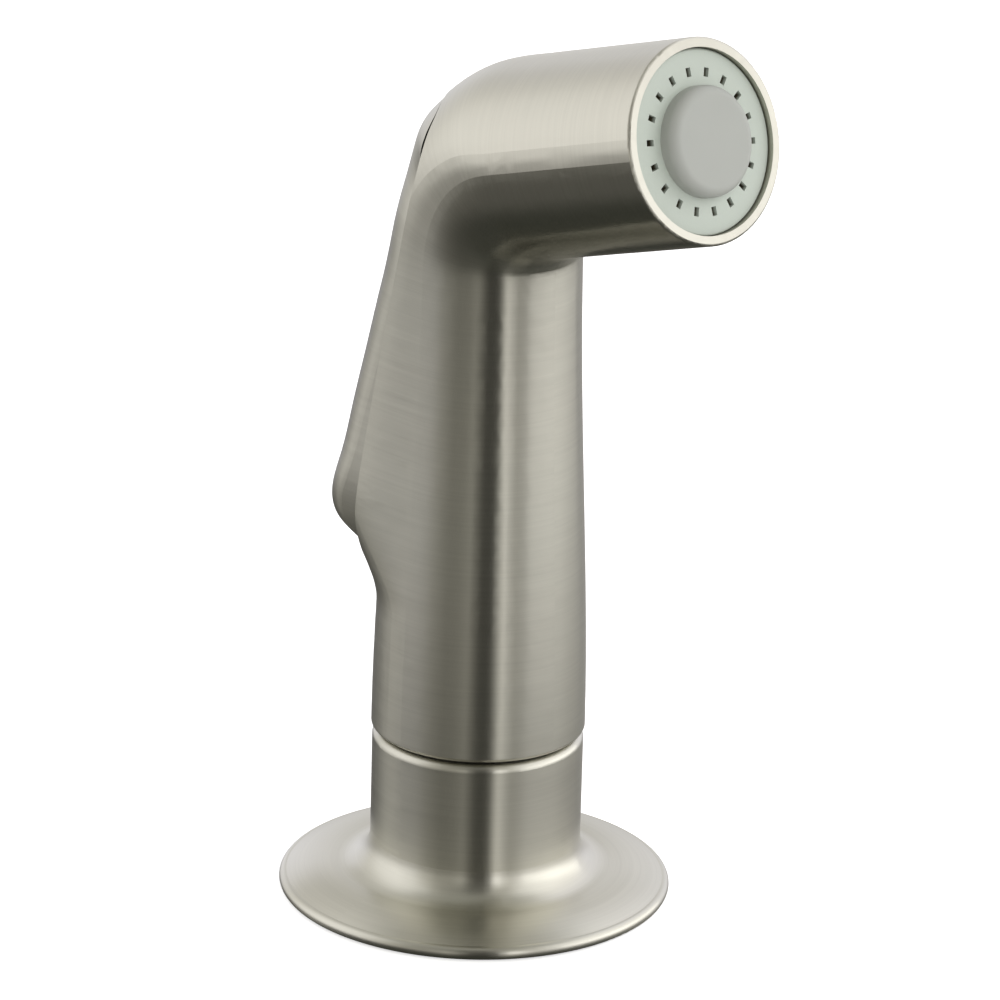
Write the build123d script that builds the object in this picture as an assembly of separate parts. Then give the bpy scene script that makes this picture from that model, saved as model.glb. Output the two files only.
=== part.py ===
from build123d import *
import os
from math import atan2, cos, degrees, hypot, pi, radians, sin, sqrt, tan

# A side spray for a kitchen sink: a hand wand with a bent head and a squeeze lever,
# standing in a round deck holder. Millimetres, +Z up. The origin is on the holder's
# axis, in the plane of the sink deck. The spray head points to -Y, the lever is at +Y.

# ---- Driving sizes: holder ----
flange_radius = 28.0        # round foot that covers the deck hole
flange_rim = 1.9            # height of the foot's rounded rim
flange_crown = 3.9          # height of the foot's top beside the collar
foot_fillet = 4.4           # sweep from the foot up into the collar
collar_radius = 15.07
collar_height = 24.5
collar_wall = 2.3
lip_round = 1.2             # rounding of the collar's top edge
seat_depth = 2.7            # from the collar's top down to the ledge that holds the guide
seat_step = 0.65            # how much wider the collar is above that ledge
gasket_thickness = 1.0
guide_flange = 1.6          # thickness of the guide's top flange
guide_wall = 2.25
socket_flare = 0.9          # how much wider the wand's socket is at its mouth
socket_depth = 15.0
deck_thickness = 20.0       # sink deck that the holder is shown clamped to
washer_radius = 21.0
washer_thickness = 1.6
nut_height = 7.0
nut_wall = 4.2
wing_length = 6.5
wing_width = 4.0
shank_spare = 9.0           # thread that stands out below the nut

# ---- Driving sizes: wand casing ----
seam_gap = 0.45             # gap between the collar and the casing
foot_radius = 15.25
waist_radius = 13.0
head_radius = 14.15
shell_wall = 1.4
foot_round = 0.8            # rounding of the casing's bottom edge
rim_round = 0.5             # rounding of the rim round the spray face
head_reach = 40.55          # from the holder's axis to the middle of the face
face_height = 121.66        # from the deck to the middle of the face
head_tilt = 17.5            # degrees that the head points above level
bend_radius = 18.0
bulge_drop = 5.4            # below the opening's floor, where the grip starts to deepen
bulge_rise = 13.1           # above that floor, where it is deepest
flank_low = 9.75            # depth of the flat flanks there
flank_high = 3.4            # their depth at the foot of the bend
flank_roll = 12.0           # degrees over which a flank rolls into the back
ledge_height = 49.2         # floor of the lever's opening
ledge_slope = 0.3           # its rise through the wall, along which the lever's foot moves
seam_foot = 11.6            # Y of the opening's edge in side view, at its lower end
seam_foot_rise = 7.8        # that end above the floor
seam_bow = 0.93
seam_high = 2.4             # Y of its upper end, below the bend's corner
seam_drop = 1.9
seam_front = 1.5            # Y of the upright edge beside the pivot, above that corner
seam_rise = 5.1
opening_rise = 10.1         # top of the opening above the bend's corner
opening_round = 2.0         # lower corner of the opening in side view
top_round = 2.5             # its upper corner

# ---- Driving sizes: lever ----
lever_gap = 0.35            # side clearance to the casing
lever_wall = 1.6
foot_gap = 0.7              # between the lever's foot and the opening's floor
lever_low = 16.6            # depth of the lever's flat sides above its nose
lever_high = 5.5            # the same at the foot of the bend
lever_bow = 0.15
crown_low = 7.5             # how far the rounded back stands behind the flat sides
crown_high = 9.1
elbow_dip = 1.2             # how far the lever's back draws in at the foot of the bend
elbow_dip_end = 32.0        # degrees round the bend where it has come out again
elbow_inset = 0.1           # how far below the casing's surface the lever ends over the bend
elbow_flush = 40.0          # degrees round the bend where it is level with that surface
elbow_spread = 12.0         # degrees over which it widens to that
hook_drop = 2.8             # reach of the hook below the floor, which keeps the lever's nose in
hook_width = 6.0
hook_thickness = 1.5
shoe_radius = 4.0
shoe_thickness = 0.75
nose_height = 5.0           # rounded nose at the lever's foot
nose_drop = 5.3
nose_power = 1.5
foot_sink = 1.2             # how far the lever's foot goes down when it is pressed
lip_overlap = 1.2           # how far the lever's sides reach into the casing
lip_end = 5.9               # upper end of those lips below the bend's corner
top_gap = 0.45
pivot = (-1.6, 112.0)       # lever pivot in side view: (Y, Z)
pin_radius = 1.2
ear_inside = 6.6            # from the middle plane to the inside of an ear
ear_thickness = 1.6
ear_radius = 2.7
pin_boss = 1.4              # boss on each ear, towards the casing

# ---- Driving sizes: valve and waterway ----
valve_height = 80.0
chamber_gap = 0.27          # between the chamber's front and the casing
chamber_radius = 6.8
chamber_wall = 1.5
cap_length = 1.6
spring_wire = 0.6
spring_radius = 3.4
spring_turns = 3.5
poppet_thickness = 1.0
poppet_radius = 4.5
seal_thickness = 1.1
seat_thickness = 1.5
seat_radius = 3.0
stem_radius = 1.35
stem_head_radius = 2.3
stem_head = 0.9
stem_travel = 2.55
gland_length = 3.4
gland_flange = 1.4
gland_section = 0.8         # section radius of the gland's O-ring
back_cavity = 5.2           # room between the valve's seat and the gland
riser_radius = 3.9
riser_bore = 2.4
riser_offset = -4.2         # riser axis in front of the holder's axis
tube_radius = 3.3
tube_wall = 1.0
tube_bend = 12.0
neck_wall = 1.8
neck_height = 6.6
rib_height = 45.0           # rib that steadies the riser in the casing
ring_section = 0.48         # section radius of the O-rings on the tube
inlet_bore = 5.72           # hose thread, drawn plain at its minor radius
inlet_wall = 1.9
inlet_thread = 10.2
inlet_body = 10.5           # bush below its flange
inlet_flange = 1.8
inlet_through = 4.2
inlet_washer = 1.25
plug_height = 8.0           # part of the plug inside the casing
plug_flange = 1.1
foot_wall = 2.0

# ---- Driving sizes: spray head ----
face_recess = 0.8
face_thickness = 2.5
slot_count = 18
slot_circle = 9.5
slot_length = 1.25
slot_width = 0.85
slot_land = 1.2             # plate left under the slots
button_radius = 7.6
button_height = 2.7
button_round = 1.4
housing_length = 10.1
housing_wall = 1.8
housing_floor = 2.0
disc_thickness = 1.5
disc_depth = 6.5
disc_holes = 12
disc_circle = 8.0
face_section = 0.55         # section radius of the O-ring round the housing
disc_hole_radius = 0.7
screw_radius = 1.45
screw_head_radius = 2.8
screw_head = 1.5
screw_length = 7.1

# ---- Clearances ----
fit = 0.1                   # between pieces that are put together and stay so
turn_gap = 0.12             # flat gap above and below the seat ring
plug_gap = 0.3              # between the wand's plug and its socket
running = 0.05              # radial clearance of pins and stem
push_gap = 0.25             # between the lever's shoe and the stem
shoe_gap = 0.2              # between the shoe's edge and the lever's back
open_gap = 0.15             # kept between the stem's parts when the valve is fully open

# ---- Worked out: the wand's centre line ----
turn_angle = 90 - head_tilt
knee_height = face_height - head_reach * tan(radians(head_tilt))
bend_start = knee_height - bend_radius * tan(radians(turn_angle / 2))
head_length = head_reach / cos(radians(head_tilt))
head_straight = head_length - bend_radius * tan(radians(turn_angle / 2))
wand_foot = collar_height + seam_gap
head_axis = Vector(0, -cos(radians(head_tilt)), sin(radians(head_tilt)))
knee = Vector(0, 0, knee_height)

# ---- Worked out: radii that nest inside each other ----
collar_bore = collar_radius - collar_wall
seat_bore = collar_bore + seat_step
guide_radius = collar_bore - fit
hose_bore = guide_radius - guide_wall
socket_mouth = hose_bore + socket_flare
guide_top = collar_height - seat_depth + guide_flange
socket_foot = guide_top - socket_depth
ring_foot = guide_top + turn_gap
plug_seat = wand_foot - 0.6
cavity_radius = chamber_radius - chamber_wall
rim_bore = head_radius - shell_wall
face_radius = rim_bore - fit


# ---- Worked out: heights of the lever's opening and of the grip ----
bulge_foot = ledge_height - bulge_drop
bulge_top = ledge_height + bulge_rise
seam_low = (seam_foot, ledge_height + seam_foot_rise)
seam_top = knee_height - seam_drop
opening_top = knee_height + opening_rise
lever_foot = ledge_height + foot_gap
nose_top = lever_foot + nose_height


def ease(t):
    """Smooth step from 0 to 1."""
    t = min(max(t, 0.0), 1.0)
    return t * t * (3 - 2 * t)


def steps(first, last, count):
    """Evenly spaced values, both ends included."""
    return [first + (last - first) * i / (count - 1) for i in range(count)]


def blend(first, last, t):
    return first + (last - first) * t


def pivot_half_width():
    """Half the casing's width at the lever's pivot."""
    across, up = pivot[0] + bend_radius, pivot[1] - bend_start
    angle = degrees(atan2(up, across))
    distance = hypot(across, up) - bend_radius
    return sqrt(bend_size(angle) ** 2 - (distance - bend_flank(angle)) ** 2)


def wire_of(lines):
    return Wire([edge for line in lines for edge in line.edges()])


# ---- Frames across the wand: local X is the width, local Y points to the back ----
def stem_frame(height):
    return Plane(origin=(0, 0, height), x_dir=(1, 0, 0), z_dir=(0, 0, 1))


def bend_frame(angle):
    a = radians(angle)
    centre = (0, bend_radius * (cos(a) - 1), bend_start + bend_radius * sin(a))
    return Plane(origin=centre, x_dir=(1, 0, 0), z_dir=(0, -sin(a), cos(a)))


def head_frame(distance):
    """Frame on the head's axis, at a distance out from the corner of the centre line."""
    return Plane(origin=knee + head_axis * distance, x_dir=(1, 0, 0), z_dir=head_axis)


face_frame = head_frame(head_length)
valve_frame = Plane(origin=(0, 0, valve_height), x_dir=(1, 0, 0), z_dir=(0, 1, 0))
pivot_frame = Plane(origin=(0, pivot[0], pivot[1]), x_dir=(0, 1, 0), z_dir=(1, 0, 0))


# ---- The casing's sections ----
def stem_size(height):
    """Radius of the casing's round front at a height below the bend."""
    t = (height - wand_foot) / (bend_start - wand_foot)
    return blend(foot_radius, waist_radius, ease(t))


def flank_size(height):
    """Depth of the flat flanks at a height below the bend."""
    slope = (flank_low - flank_high) / (bend_start - bulge_top)
    full = flank_high + slope * (bend_start - height)
    return full * ease((height - bulge_foot) / (bulge_top - bulge_foot))


def bend_size(angle):
    return blend(waist_radius, head_radius, ease(angle / turn_angle))


def bend_flank(angle):
    return flank_high * (1 - angle / turn_angle)


def oval_arc(centre, width, height, first, last):
    """Part of an oval between two angles, as a cubic curve. The centre is on local Y."""
    a, b = radians(first), radians(last)
    arm = 4 / 3 * tan((b - a) / 4)
    start = (width * cos(a), centre + height * sin(a))
    end = (width * cos(b), centre + height * sin(b))
    near = (start[0] - arm * width * sin(a), start[1] + arm * height * cos(a))
    far = (end[0] + arm * width * sin(b), end[1] - arm * height * cos(b))
    return Bezier(start, near, far, end)


def casing_section(frame, radius, depth):
    """Closed section: half-round front, flat flanks of a given depth, half-round back."""
    roll = radians(flank_roll)
    side, back = radius * cos(roll), depth + radius * sin(roll)
    arm = (depth + radius * roll) / 3
    near = (side + arm * sin(roll), back - arm * cos(roll))
    edges = [
        oval_arc(0, radius, radius, 180, 270),
        oval_arc(0, radius, radius, 270, 360),
        Bezier((radius, 0), (radius, arm), near, (side, back)),
        oval_arc(depth, radius, radius, flank_roll, 90),
        oval_arc(depth, radius, radius, 90, 180 - flank_roll),
        Bezier((-side, back), (-near[0], near[1]), (-radius, arm), (-radius, 0)),
    ]
    return frame * Wire(edges)


def casing_form(inset, overrun):
    """The casing's outer form, or with an inset the form of its cavity."""
    heights = steps(wand_foot - overrun, bulge_foot, 10) + steps(bulge_foot, bulge_top, 8)[1:]
    heights += steps(bulge_top, bend_start, 9)[1:]
    sections = []
    for height in heights:
        sections.append(
            casing_section(stem_frame(height), stem_size(height) - inset, flank_size(height))
        )
    for angle in steps(0, turn_angle, 7)[1:]:
        sections.append(
            casing_section(bend_frame(angle), bend_size(angle) - inset, bend_flank(angle))
        )
    for distance in steps(head_length - head_straight, head_length + overrun, 8)[1:]:
        sections.append(casing_section(head_frame(distance), head_radius - inset, 0))
    return Solid.make_loft(sections)


def side_block(lines, half_width):
    """A block across the middle plane, with its outline drawn in side view as (Y, Z)."""
    return extrude(Plane.YZ * make_face(wire_of(lines)), amount=half_width, both=True)


def seam_points(shift):
    """Low, middle and high point of the seam in side view, shifted in Y."""
    low = (seam_low[0] + shift, seam_low[1])
    high = (seam_high + shift, seam_top)
    middle = ((low[0] + high[0]) / 2 + seam_bow, (low[1] + high[1]) / 2)
    return low, middle, high


def floor_line(lift):
    """The opening's floor in side view, from its sloping outer end to its front corner."""
    inside = stem_size(ledge_height) + flank_size(ledge_height) - shell_wall
    far = 3 * foot_radius
    return [
        (far, ledge_height + lift + ledge_slope * (far - inside)),
        (inside, ledge_height + lift),
        (seam_low[0], ledge_height + lift),
    ]


def lever_opening():
    """What is cut from the casing's back for the lever."""
    low, middle, high = seam_points(0)
    edge = ThreePointArc(low, middle, high)
    front = (seam_front, knee_height + seam_rise)
    floor = floor_line(0)
    block = side_block(
        [
            edge,
            TangentArc(high, front, tangent=edge % 1),
            Polyline(front, (seam_front, opening_top), (floor[0][0], opening_top), *floor, low),
        ],
        2 * foot_radius,
    )
    corners = block.edges().filter_by(Axis.X)
    block = fillet(corners.sort_by_distance((0, *floor[2]))[0], opening_round)
    corners = block.edges().filter_by(Axis.X)
    return fillet(corners.sort_by_distance((0, seam_front, opening_top))[0], top_round)


def rod(frame, radius, start, end):
    """Cylinder along a frame's axis between two distances."""
    upright = (Align.CENTER, Align.CENTER, Align.MIN)
    return frame * Pos(0, 0, start) * Cylinder(radius, end - start, align=upright)


def tube(frame, radius, bore, start, end):
    return rod(frame, radius, start, end) - rod(frame, bore, start - 1, end + 1)


def turned(points):
    """A ring turned about Z from a closed outline of straight lines, drawn as (radius, Z)."""
    return revolve(Plane.XZ * make_face(Polyline(*points, close=True)), Axis.Z)


def ring_at(frame, distance, radius, section):
    """An O-ring across a frame's axis."""
    return frame * Pos(0, 0, distance) * Torus(radius, section)


def both_sides(solid):
    return solid + mirror(solid, Plane.YZ)


def edge_cut(frame, radius, rounding):
    """Ring that rounds the edge of a round end, which faces along the frame's axis."""
    centre = (radius - rounding, -rounding)
    reach = 1.04 * rounding
    corner = (centre[0] + reach * sqrt(0.5), centre[1] + reach * sqrt(0.5))
    top, side = (centre[0], centre[1] + reach), (centre[0] + reach, centre[1])
    outline = [
        ThreePointArc(top, corner, side),
        Polyline(side, (radius + 1, side[1]), (radius + 1, 1), (top[0], 1), top),
    ]
    return frame * revolve(Plane.XZ * make_face(wire_of(outline)), Axis.Z)


def wand_shell():
    foot_frame = Plane(origin=(0, 0, wand_foot), x_dir=(1, 0, 0), z_dir=(0, 0, -1))
    form = casing_form(0, 0) - edge_cut(foot_frame, foot_radius, foot_round)
    form -= edge_cut(face_frame, head_radius, rim_round)
    bearing = both_sides(rod(pivot_frame, pin_boss_radius, boss_end + lever_gap, pivot_width)) & form
    shell = form - casing_form(shell_wall, 2.0) - lever_opening()
    return shell + bearing - rod(pivot_frame, pin_radius + running, -pin_reach, pin_reach)


# ---- The lever ----
def seam_line(height):
    """Y of the seam in side view, near enough to keep the lever clear of the casing."""
    t = (height - seam_low[1]) / (seam_top - seam_low[1])
    corner = min(max(ledge_height + opening_round - height, 0.0), 0.95 * opening_round)
    rounding = opening_round - sqrt(opening_round ** 2 - corner ** 2)
    return blend(seam_low[0], seam_high, max(t, 0.0)) + rounding + 0.3


def nested_width(radius, depth, reach):
    """Half-width that passes inside the casing at a distance behind its centre line."""
    inner = radius - shell_wall
    return sqrt(inner ** 2 - max(reach - depth, 0.0) ** 2) - lever_gap


def lever_stem_size(height):
    """Half-width, depth of the flat sides and height of the crown, below the bend."""
    flank = min(flank_size(height), flank_size(height - foot_sink))
    width = nested_width(stem_size(height), flank, seam_line(height))
    flat = lever_high + lever_slope * (bend_start - height)
    t = (height - nose_top) / (bend_start - nose_top)
    if t > 0:
        flat += 4 * lever_bow * t * (1 - t)
    else:
        flat -= nose_drop * ((nose_top - height) / nose_height) ** nose_power
    return width, flat, blend(crown_low, crown_high, max(t, 0.0))


def lever_bend_size(angle):
    """The same round the bend, where the lever widens until it is level with the casing."""
    full = bend_size(angle) - elbow_inset
    nested = nested_width(bend_size(angle), bend_flank(angle), seam_reach)
    width = blend(nested, full, ease((angle - elbow_flush + elbow_spread) / elbow_spread))
    t = ease(angle / elbow_flush)
    flat = blend(lever_high, bend_flank(angle), t)
    dip = elbow_dip * sin(pi * min(angle / elbow_dip_end, 1.0))
    back = blend(lever_high + crown_high, bend_flank(angle) + full, t) - dip
    return width, flat, back - flat


def lever_section(frame, size, inset):
    """Closed section: flat sides and a half-oval back. The inner one starts further forward."""
    width, flat, crown = size[0] - inset, size[1], size[2] - inset
    front = -6.0 - inset
    edges = [
        Bezier((-width, front), (width, front)),
        Bezier((width, front), (width, flat)),
        oval_arc(flat, width, crown, 0, 90),
        oval_arc(flat, width, crown, 90, 180),
        Bezier((-width, flat), (-width, front)),
    ]
    return frame * Wire(edges)


def lever_form(inset, foot):
    heights = [foot] + [h for h in steps(lever_foot, nose_top, 5) if h > foot + 0.5]
    heights += steps(nose_top, bend_start, 6)[1:]
    sections = [lever_section(stem_frame(h), lever_stem_size(h), inset) for h in heights]
    for angle in (8, 16, 24, 32, 40, 48, 56):
        sections.append(lever_section(bend_frame(angle), lever_bend_size(angle), inset))
    return Solid.make_loft(sections)


def lever_region():
    """Side outline of the lever, from its lips inside the casing back to its crown."""
    low, middle, high = seam_points(-lip_overlap)
    lip = (high[0] + 0.25 * (lip_end - seam_drop), knee_height - lip_end)
    clear = (seam_high + top_gap + 0.15, seam_top - 0.7)
    upright = (seam_front + top_gap, knee_height + seam_rise)
    corner = (upright[0], opening_top - top_gap)
    floor = floor_line(foot_gap)
    foot = (low[0], floor[2][1])
    block = side_block(
        [
            ThreePointArc(low, middle, lip),
            Polyline(lip, clear, upright, corner, (floor[0][0], corner[1]), *floor[:2], foot, low),
        ],
        2 * foot_radius,
    )
    top_corner = block.edges().filter_by(Axis.X).sort_by_distance((0, *corner))[0]
    return fillet(top_corner, top_round - top_gap)


def lever():
    outer = lever_form(0, lever_foot)
    inner = lever_form(lever_wall, lever_foot + lever_wall)
    body = (outer - inner) & lever_region()
    ear_top, ear_low = pivot[1] + ear_radius, pivot[1] - ear_radius
    ear_back = lever_high + crown_high
    ear_outline = [(pivot[0], ear_low), (ear_back, ear_low - 6), (ear_back, ear_top - 1)]
    ear = side_block([Polyline(*ear_outline, (pivot[0], ear_top), close=True)], ear_outside)
    ear -= Box(2 * ear_inside, 200, 400)
    ear &= outer
    ear += both_sides(rod(pivot_frame, ear_radius, ear_inside, boss_end))
    boss = rod(valve_frame, shoe_radius + 0.4, shoe_back, shoe_back + 4) & outer
    hook_foot = ledge_height - hook_drop
    inside = stem_size(hook_foot) - shell_wall
    hook_back = flank_size(hook_foot) + sqrt(inside ** 2 - (hook_width / 2) ** 2) - lever_gap
    hook = Pos(0, hook_back, hook_foot) * Box(
        hook_width, hook_thickness, lever_foot + lever_wall - hook_foot,
        align=(Align.CENTER, Align.MAX, Align.MIN),
    )
    body = body + ear + boss + hook
    return body - rod(pivot_frame, pin_radius + running, -boss_end - 1, boss_end + 1)


def lever_shoe():
    return fillet(
        rod(valve_frame, shoe_radius, shoe_front, shoe_back).edges().group_by(Axis.Y)[0], 0.3
    )


def lever_pins():
    return both_sides(rod(pivot_frame, pin_radius, ear_inside, pin_reach - running))


# ---- Valve and waterway ----
def waterway():
    stem = Plane.XY
    riser_frame = Plane(origin=(0, riser_offset, 0), x_dir=(1, 0, 0), z_dir=(0, 0, 1))
    body = rod(stem, foot_bore + foot_wall, gasket_top, plug_top)
    body += rod(riser_frame, riser_radius, plug_top - 3, valve_height)
    body += rod(valve_frame, chamber_radius, chamber_front, valve_back)
    body += rod(tube_frame, tube_socket + neck_wall, valve_height, neck_top)
    rib_front = riser_offset - 1.3
    inner = stem_size(rib_height) - shell_wall
    rib_width = 2 * (sqrt(inner ** 2 - rib_front ** 2) - 2 * fit)
    rib = Box(rib_width, 2.5, 2.0, align=(Align.CENTER, Align.MIN, Align.CENTER))
    body += Pos(0, rib_front, rib_height) * rib
    body -= rod(stem, foot_bore, gasket_top - 1, plug_top - 2.5)
    body -= rod(riser_frame, riser_bore, plug_top - 4, valve_height)
    body -= rod(valve_frame, cavity_radius, chamber_front - 1, seat_front)
    body -= rod(valve_frame, cavity_radius, seat_back, valve_back + 1)
    body -= rod(valve_frame, seat_radius, seat_front - 1, seat_back + 1)
    body -= rod(tube_frame, tube_radius - tube_wall, valve_height, neck_top)
    body -= rod(tube_frame, tube_socket, tube_foot - running, neck_top + 1)
    groove = ring_section + running
    body -= rod(tube_frame, ring_groove, lower_ring - groove, lower_ring + groove)
    return body


def valve_cap():
    cap = rod(valve_frame, cavity_radius - fit, chamber_front, chamber_front + cap_length)
    socket = extrude(Plane.XY * RegularPolygon(2.0, 6), amount=0.9)
    return cap - valve_frame * Pos(0, 0, chamber_front) * socket


def valve_spring():
    first = chamber_front + cap_length + spring_wire / 2 + running
    last = poppet_front - spring_wire / 2 - running
    coil = Helix(pitch=(last - first) / spring_turns, height=last - first, radius=spring_radius)
    section = Plane(origin=coil @ 0, z_dir=coil % 0) * Circle(spring_wire / 2)
    return valve_frame * Pos(0, 0, first) * sweep(section, path=coil)


def valve_stem():
    stem = rod(valve_frame, stem_radius, poppet_front, stem_tip - stem_head / 2)
    stem += rod(valve_frame, poppet_radius, poppet_front, poppet_back)
    head = rod(valve_frame, stem_head_radius, stem_tip - stem_head, stem_tip)
    return stem + fillet(head.edges().group_by(Axis.Y)[-1], 0.6)


def valve_seal():
    return tube(
        valve_frame, poppet_radius + fit, stem_radius + running,
        poppet_back + running, poppet_back + running + seal_thickness,
    )


def valve_bushing():
    bushing = rod(valve_frame, cavity_radius - fit, valve_back - gland_length, valve_back)
    bushing += rod(valve_frame, chamber_radius - 0.4, valve_back, valve_back + gland_flange)
    bushing -= rod(valve_frame, stem_radius + running, 0, valve_back + 5)
    seal_end = valve_back - gland_length + 2 * gland_section + fit
    return bushing - rod(valve_frame, gland_bore, 0, seal_end)


def gland_oring():
    return ring_at(
        valve_frame, valve_back - gland_length + gland_section,
        stem_radius + running + gland_section, gland_section - running,
    )


def outlet_tube():
    corner = (0, tube_offset, knee_height - tube_offset * tan(radians(head_tilt)))
    end = face_frame.from_local_coords((0, 0, tube_end))
    path = FilletPolyline((0, tube_offset, tube_foot), corner, end, radius=tube_bend)
    section = Plane(origin=path @ 0, z_dir=path % 0) * Circle(tube_radius)
    bore = Plane(origin=path @ 0, z_dir=path % 0) * Circle(tube_radius - tube_wall)
    return sweep(section, path=path) - sweep(bore, path=path)


def tube_orings():
    mean = tube_radius + running + ring_section
    lower = ring_at(tube_frame, lower_ring, mean, ring_section - running)
    return lower + ring_at(face_frame, upper_ring, mean, ring_section - running)


# ---- Hose end of the wand ----
def base_plug():
    skirt_mouth = socket_mouth + (socket_mouth - hose_bore) * (plug_seat - guide_top) / socket_depth
    skirt_end = hose_bore + (socket_mouth - hose_bore) * (plug_end - socket_foot) / socket_depth
    body = stem_size(plug_top) - shell_wall - running
    return turned([
        (plug_bore, plug_end),
        (skirt_end - plug_gap, plug_end),
        (skirt_mouth - plug_gap, plug_seat),
        (seat_bore - 0.4, plug_seat),
        (seat_bore - 0.4, plug_seat + plug_flange),
        (body, plug_seat + plug_flange),
        (body, plug_top),
        (plug_wide, plug_top),
        (plug_wide, plug_step),
        (plug_bore, plug_step),
    ])


def inlet_insert():
    body = rod(Plane.XY, insert_radius, plug_step - inlet_body, plug_step)
    body += rod(Plane.XY, insert_flange, plug_step, insert_top)
    body -= rod(Plane.XY, inlet_bore, plug_step - inlet_body - 1, plug_step - inlet_body + inlet_thread)
    return body - rod(Plane.XY, inlet_through, 0, 2 * plug_top)


def inlet_gasket():
    return tube(Plane.XY, insert_flange - fit, inlet_through + 0.2, insert_top, gasket_top)


# ---- Spray head ----
def spray_housing():
    inner = face_radius - housing_wall
    cup = rod(face_frame, face_radius, housing_back, housing_front)
    cup += rod(face_frame, tube_socket + neck_wall, housing_back - 4, housing_back)
    cup -= rod(face_frame, inner, disc_back, 0)
    cup -= rod(face_frame, inner - 0.8, housing_back + housing_floor, 0)
    cup -= rod(face_frame, tube_radius - tube_wall, housing_back - 5, 0)
    cup -= rod(face_frame, tube_socket, housing_back - 5, tube_end + running)
    groove = ring_section + running
    cup -= rod(face_frame, ring_groove, upper_ring - groove, upper_ring + groove)
    seal_groove = tube(
        face_frame, face_radius + 1, face_radius - 1.15, face_ring - 0.7, face_ring + 0.7
    )
    return cup - seal_groove


def face_oring():
    return ring_at(face_frame, face_ring, rim_bore - face_section - 0.03, face_section)


def flow_disc():
    disc = rod(face_frame, face_radius - housing_wall - fit, disc_back, disc_back + disc_thickness)
    disc += rod(face_frame, 2.4, disc_back - 1.7, plate_back - running)
    disc -= rod(face_frame, screw_radius + running, disc_back - 3, 0)
    for turn in range(disc_holes):
        place = face_frame * Rot(0, 0, 360 * turn / disc_holes) * Pos(disc_circle, 0, 0)
        disc -= rod(place, disc_hole_radius, disc_back - 1, disc_back + 3)
    return disc


def spray_face():
    plate = rod(face_frame, face_radius, plate_back, plate_front)
    plate = fillet(plate.edges().sort_by_distance(face_frame.origin)[0], 0.3)
    groove_back, groove_top = plate_back - 1, plate_front - slot_land
    plate -= tube(face_frame, slot_circle + 1.2, slot_circle - 1.2, groove_back, groove_top)
    for turn in range(slot_count):
        spin = face_frame * Rot(0, 0, 90 + 360 * turn / slot_count)
        plate -= spin * Pos(slot_circle, 0, plate_front) * Box(slot_length, slot_width, 3)
    plate -= rod(face_frame, screw_radius + 0.5, plate_back - 1, plate_front + 1)
    return plate - rod(face_frame, screw_head_radius + 0.4, screw_seat, plate_front + 1)


def face_button():
    button = rod(face_frame, button_radius, plate_front, plate_front + button_height)
    crown = button.edges().sort_by_distance(face_frame.from_local_coords((0, 0, 9)))[0]
    button = fillet(crown, button_round)
    return button - rod(face_frame, screw_head_radius + 0.4, plate_front - 1, screw_top + 0.25)


def face_screw():
    screw = rod(face_frame, screw_head_radius, screw_seat, screw_top)
    screw += rod(face_frame, screw_radius, screw_seat - screw_length + screw_head, screw_seat)
    slot = face_frame * Pos(0, 0, screw_top) * Box(2 * screw_head_radius + 1, 0.7, 1.2)
    return screw - slot


# ---- Holder ----
def escutcheon():
    """Foot and collar in one turning."""
    recess = flange_radius - 1.1
    rim_top = (flange_radius - 1.0, 0.25 + flange_rim)
    rim_low = (flange_radius - 0.7, 0.25)
    crown = (collar_radius + foot_fillet, flange_crown)
    waist = (collar_radius, flange_crown + foot_fillet)
    lip = (collar_radius, collar_height - lip_round)
    top = (collar_radius - lip_round, collar_height)
    ledge = collar_height - seat_depth
    outline = [
        Polyline((collar_bore, ledge), (collar_bore, gasket_thickness), (recess, gasket_thickness)),
        Polyline((recess, gasket_thickness), (recess, 0.25), rim_low),
        ThreePointArc(rim_low, (flange_radius, 0.25 + flange_rim / 2), rim_top),
        TangentArc(crown, rim_top, tangent=(1, 0)),
        RadiusArc(crown, waist, foot_fillet),
        Line(waist, lip),
        RadiusArc(lip, top, -lip_round),
        Polyline(top, (seat_bore, collar_height), (seat_bore, ledge), (collar_bore, ledge)),
    ]
    return revolve(Plane.XZ * make_face(wire_of(outline)), Axis.Z)


def hose_guide():
    ledge = collar_height - seat_depth
    return turned([
        (hose_bore, shank_end),
        (guide_radius, shank_end),
        (guide_radius, ledge),
        (seat_bore - fit, ledge),
        (seat_bore - fit, guide_top),
        (socket_mouth, guide_top),
        (hose_bore, socket_foot),
    ])


def mounting_nut():
    nut = rod(Plane.XY, guide_radius + nut_wall, nut_foot, nut_top)
    for turn in range(4):
        wing = Pos(guide_radius + 2, 0, nut_foot) * Box(
            nut_wall + wing_length - 2, wing_width, nut_height,
            align=(Align.MIN, Align.CENTER, Align.MIN),
        )
        nut += Rot(0, 0, 45 + 90 * turn) * wing
    return nut - rod(Plane.XY, guide_radius + fit, nut_foot - 1, nut_top + 1)


# ---- Worked out: places along the hose end, the valve, the tube and the face ----
plug_top = wand_foot + plug_height
plug_end = socket_foot + 1.2
plug_step = wand_foot - 2.95
insert_radius = inlet_bore + inlet_wall
insert_flange = insert_radius + 0.9
plug_bore = insert_radius + fit
plug_wide = insert_flange + fit
insert_top = plug_step + inlet_flange
gasket_top = insert_top + inlet_washer
foot_bore = insert_flange - fit - foot_wall
nut_top = -deck_thickness - washer_thickness
nut_foot = nut_top - nut_height
shank_end = nut_foot - shank_spare
lever_slope = (lever_low - lever_high) / (bend_start - nose_top)
shoe_edge = lever_stem_size(valve_height + shoe_radius)
shoe_back = shoe_edge[1] + shoe_edge[2] - lever_wall - shoe_gap
stem_tip = shoe_back - shoe_thickness - push_gap
valve_back = stem_tip - stem_head - open_gap - stem_travel - gland_flange
chamber_inside = stem_size(valve_height + chamber_radius) - shell_wall
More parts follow.
